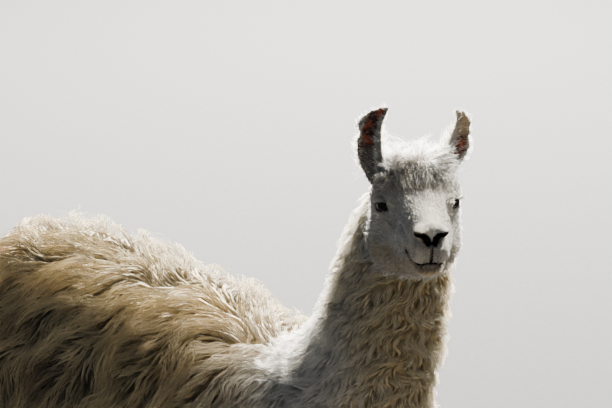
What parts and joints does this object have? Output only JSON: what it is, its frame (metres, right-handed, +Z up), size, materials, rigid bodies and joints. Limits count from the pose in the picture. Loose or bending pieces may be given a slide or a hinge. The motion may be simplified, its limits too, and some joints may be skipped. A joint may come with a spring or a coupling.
{
  "type": "llama",
  "caption": "Standing adult llama with a long shaggy fleece, tall woolly neck and curved ears, its head turned to its own right; a still life-size model.",
  "frame": {"origin": "on the ground, under the middle of the bounding box", "axes": "+Z up; -Y is the way the body faces; +X is the animal's left side. The head is turned towards -X"},
  "size_m": [0.5952, 1.6214, 1.7816],
  "materials": {
    "fleece": "matt, long creamy wool with tan tips",
    "face_hair": "matt, short flat off-white hair",
    "eye": "glossy near-black",
    "nail": "dull dark horn"
  },
  "bodies": {
    "root": {"ear_left": "face_hair", "ear_right": "face_hair", "eye_left": "eye", "eye_right": "eye", "forefoot_left": "fleece", "forefoot_left_inner_nail": "nail", "forefoot_left_outer_nail": "nail", "forefoot_right": "fleece", "forefoot_right_inner_nail": "nail", "forefoot_right_outer_nail": "nail", "foreleg_left": "fleece", "foreleg_right": "fleece", "head": "face_hair", "hindfoot_left": "fleece", "hindfoot_left_inner_nail": "nail", "hindfoot_left_outer_nail": "nail", "hindfoot_right": "fleece", "hindfoot_right_inner_nail": "nail", "hindfoot_right_outer_nail": "nail", "hindleg_left": "fleece", "hindleg_right": "fleece", "muzzle": "face_hair", "neck": "fleece", "tail": "fleece", "trunk": "fleece"}
  },
  "joints": []
}
